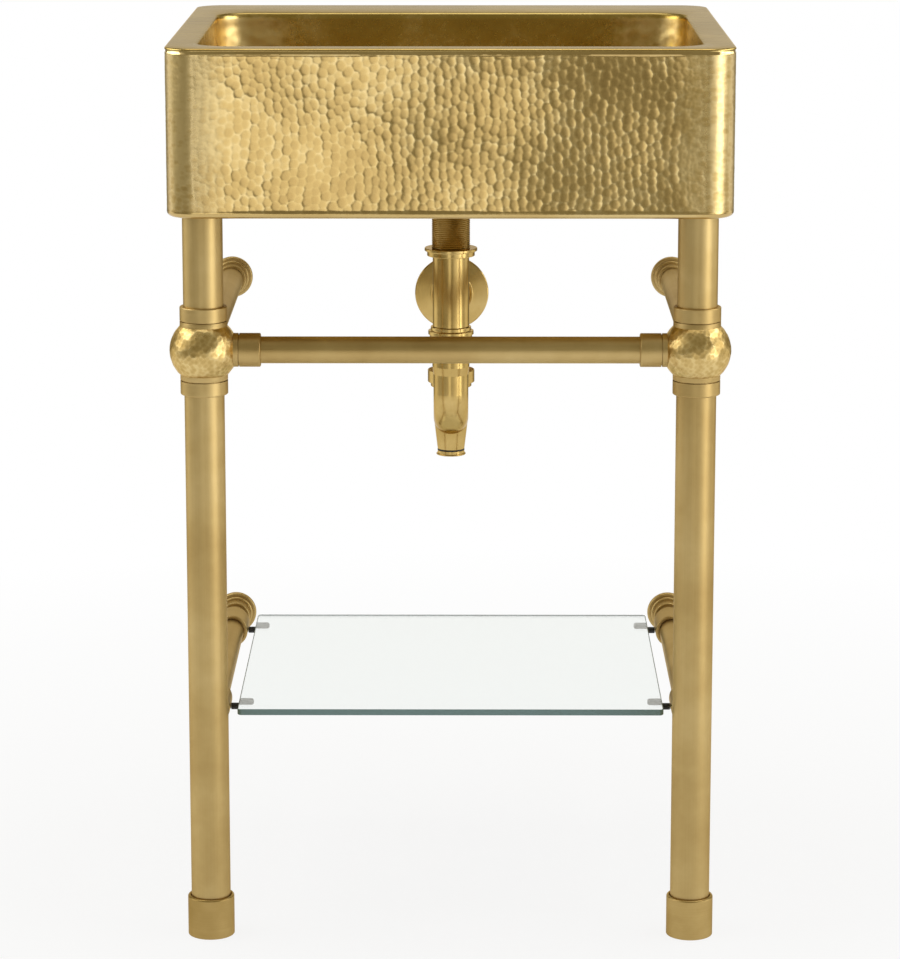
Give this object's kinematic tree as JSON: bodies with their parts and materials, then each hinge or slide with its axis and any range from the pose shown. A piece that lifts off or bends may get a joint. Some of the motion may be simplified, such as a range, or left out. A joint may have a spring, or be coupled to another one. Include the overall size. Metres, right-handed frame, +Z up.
{
  "type": "console vanity",
  "caption": "Hammered brass apron-front basin on a brass console stand with ball-jointed front legs, wall rails, a glass shelf and an exposed P-trap.",
  "frame": {"origin": "On the floor, under the middle of the whole: midway across the width and midway from the basin's front face to the end of the trap arm.", "axes": "+X to the user's right when facing the front, +Y from the front towards the wall, +Z up."},
  "size_m": [0.53, 0.506, 0.864],
  "materials": {
    "hammered_brass": "hand-hammered antique brass, brushed on the raised ridges",
    "satin_brass": "satin antique brass, brushed along the tubes",
    "polished_brass": "semi-polished brass",
    "aged_brass": "dark aged brass, threaded",
    "glass": "clear tempered glass with ground edges",
    "rubber": "matt black rubber",
    "steel": "zinc-plated steel"
  },
  "bodies": {
    "stand": {"bowl": "hammered_brass", "apron": "hammered_brass", "left_ball_joint": "hammered_brass", "right_ball_joint": "hammered_brass", "drain_body": "aged_brass", "drain_locknut": "aged_brass", "drain_gasket": "rubber", "trap_washers": "rubber", "peg_sleeves": "rubber", "leg_bolts": "steel", "flange_set_screws": "steel", "shelf_pegs": "steel", "tail_tube": "polished_brass", "tail_nut": "polished_brass", "trap_bend": "polished_brass", "trap_inlet_nut": "polished_brass", "trap_outlet_nut": "polished_brass", "trap_arm": "polished_brass", "stopper_guide": "polished_brass", "front_rail": "satin_brass", "leg_top_plugs": "satin_brass", "leg_bottom_plugs": "satin_brass", "hanger_plugs": "satin_brass", "peg_collars": "satin_brass", "left_upper_leg": "satin_brass", "left_lower_leg": "satin_brass", "left_upper_rail": "satin_brass", "left_shelf_rail": "satin_brass", "left_shelf_rail_saddle": "satin_brass", "left_upper_wall_flange": "satin_brass", "left_lower_wall_flange": "satin_brass", "left_upper_collar": "satin_brass", "left_lower_collar": "satin_brass", "left_front_collar": "satin_brass", "left_back_collar": "satin_brass", "right_upper_leg": "satin_brass", "right_lower_leg": "satin_brass", "right_upper_rail": "satin_brass", "right_shelf_rail": "satin_brass", "right_shelf_rail_saddle": "satin_brass", "right_upper_wall_flange": "satin_brass", "right_lower_wall_flange": "satin_brass", "right_upper_collar": "satin_brass", "right_lower_collar": "satin_brass", "right_front_collar": "satin_brass", "right_back_collar": "satin_brass"},
    "shelf": {"glass_shelf": "glass"},
    "left_foot": {"left_foot": "satin_brass", "left_foot_stud": "steel"},
    "right_foot": {"right_foot": "satin_brass", "right_foot_stud": "steel"},
    "stopper": {"stopper": "polished_brass", "stopper_seal": "rubber"},
    "cleanout": {"cleanout_plug": "polished_brass", "cleanout_washer": "rubber"},
    "escutcheon": {"wall_escutcheon": "polished_brass"}
  },
  "joints": [
    {"name": "shelf_lift", "type": "slide", "parent": "stand", "child": "shelf", "axis": [0, 0, 1], "range_m": [0, 0.12]},
    {"name": "left_foot_level", "type": "slide", "parent": "stand", "child": "left_foot", "axis": [0, 0, -1], "range_m": [0, 0.012]},
    {"name": "right_foot_level", "type": "slide", "parent": "stand", "child": "right_foot", "axis": [0, 0, -1], "range_m": [0, 0.012]},
    {"name": "stopper_push", "type": "slide", "parent": "stand", "child": "stopper", "axis": [0, 0, -1], "range_m": [0, 0.009]},
    {"name": "cleanout_draw", "type": "slide", "parent": "stand", "child": "cleanout", "axis": [0, 0, -1], "range_m": [0, 0.03]},
    {"name": "escutcheon_slide", "type": "slide", "parent": "stand", "child": "escutcheon", "axis": [0, -1, 0], "range_m": [0, 0.1]}
  ]
}
